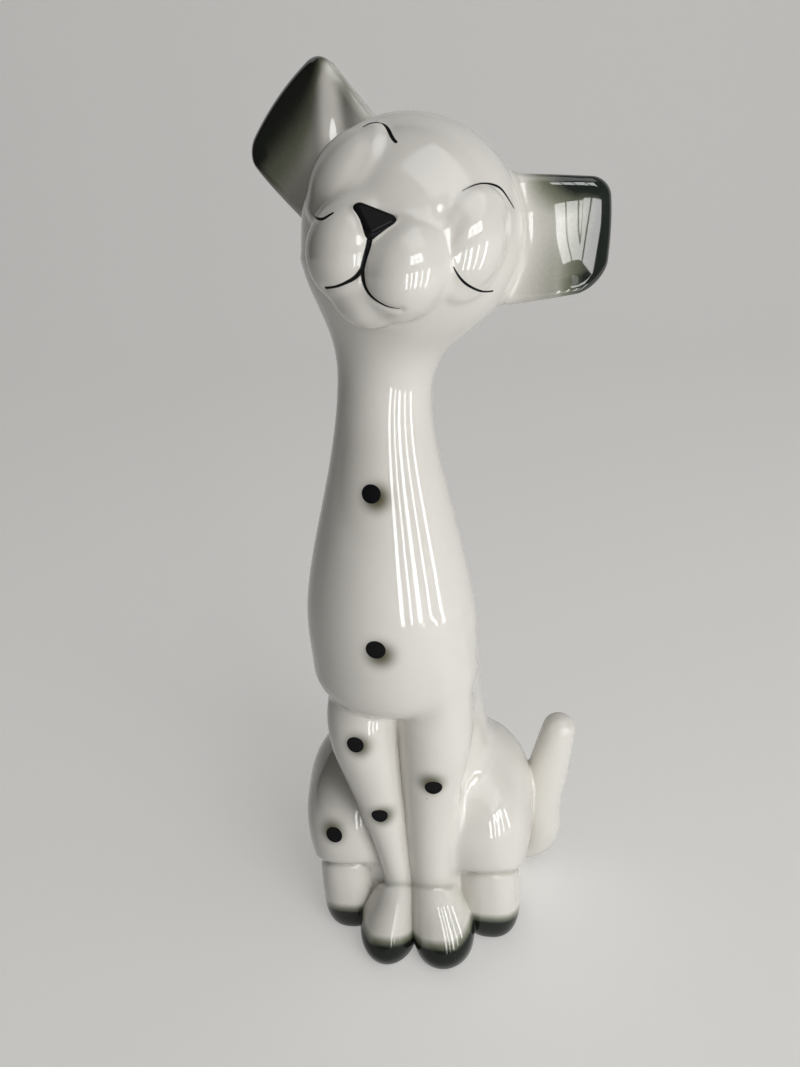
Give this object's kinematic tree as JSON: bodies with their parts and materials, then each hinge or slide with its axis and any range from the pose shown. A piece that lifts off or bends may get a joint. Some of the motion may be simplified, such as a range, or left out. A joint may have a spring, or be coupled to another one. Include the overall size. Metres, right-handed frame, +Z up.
{
  "type": "dog figurine",
  "caption": "Tall sitting dog ornament in glazed ceramic: long neck, tilted head with closed eyes, thick spread ears, round haunches and a curled-up tail; stands on its flat base.",
  "frame": {"origin": "On the flat underside of the base, on the middle plane between the paws, where the figure rests", "axes": "+Z up; the dog faces -Y; +X is the dog's left side"},
  "size_m": [0.1114, 0.0891, 0.3055],
  "materials": {
    "white_glaze": "clear gloss glaze over a warm white body, with hand-painted black spots and sprayed grey-green shading",
    "black_enamel": "gloss black ceramic colour",
    "grey_green_glaze": "sprayed grey-green shading, darkest at the outer edges, under clear gloss glaze",
    "bare_biscuit": "wiped, unglazed and matt"
  },
  "bodies": {
    "root": {"body_shell": "white_glaze", "base_disc": "bare_biscuit", "head_shell": "white_glaze", "muzzle": "white_glaze", "nose": "black_enamel", "left_eyelid": "white_glaze", "right_eyelid": "white_glaze", "left_ear": "grey_green_glaze", "right_ear": "grey_green_glaze", "left_foreleg": "white_glaze", "right_foreleg": "white_glaze", "left_forepaw": "white_glaze", "right_forepaw": "white_glaze", "left_haunch": "white_glaze", "right_haunch": "white_glaze", "left_hind_paw": "white_glaze", "right_hind_paw": "white_glaze", "tail": "white_glaze"}
  },
  "joints": []
}
